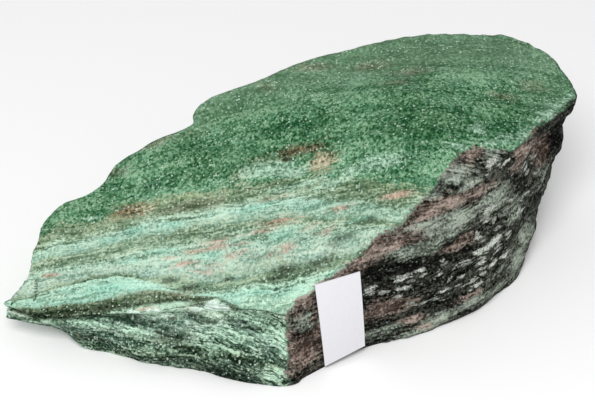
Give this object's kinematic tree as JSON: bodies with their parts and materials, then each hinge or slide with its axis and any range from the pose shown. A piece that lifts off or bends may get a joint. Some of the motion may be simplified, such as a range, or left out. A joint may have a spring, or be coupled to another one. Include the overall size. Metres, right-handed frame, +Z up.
{
  "type": "raw fuchsite stone",
  "caption": "Hand-sized raw block of banded green mica schist with a worn sparkling top, a dark break face and a blank paper slip on it.",
  "frame": {"origin": "middle of the box around the stone, at the height of its flat underside", "axes": "+Z up from the flat underside, +X from the thin tip to the high rounded shoulder, -Y to the dark break face and the slip"},
  "size_m": [0.1722, 0.1061, 0.0556],
  "materials": {
    "fuchsite_schist": "raw broken stone with fine mica glitter",
    "white_paper": "plain matt paper"
  },
  "bodies": {
    "root": {"fuchsite_block": "fuchsite_schist", "paper_label": "white_paper"}
  },
  "joints": []
}
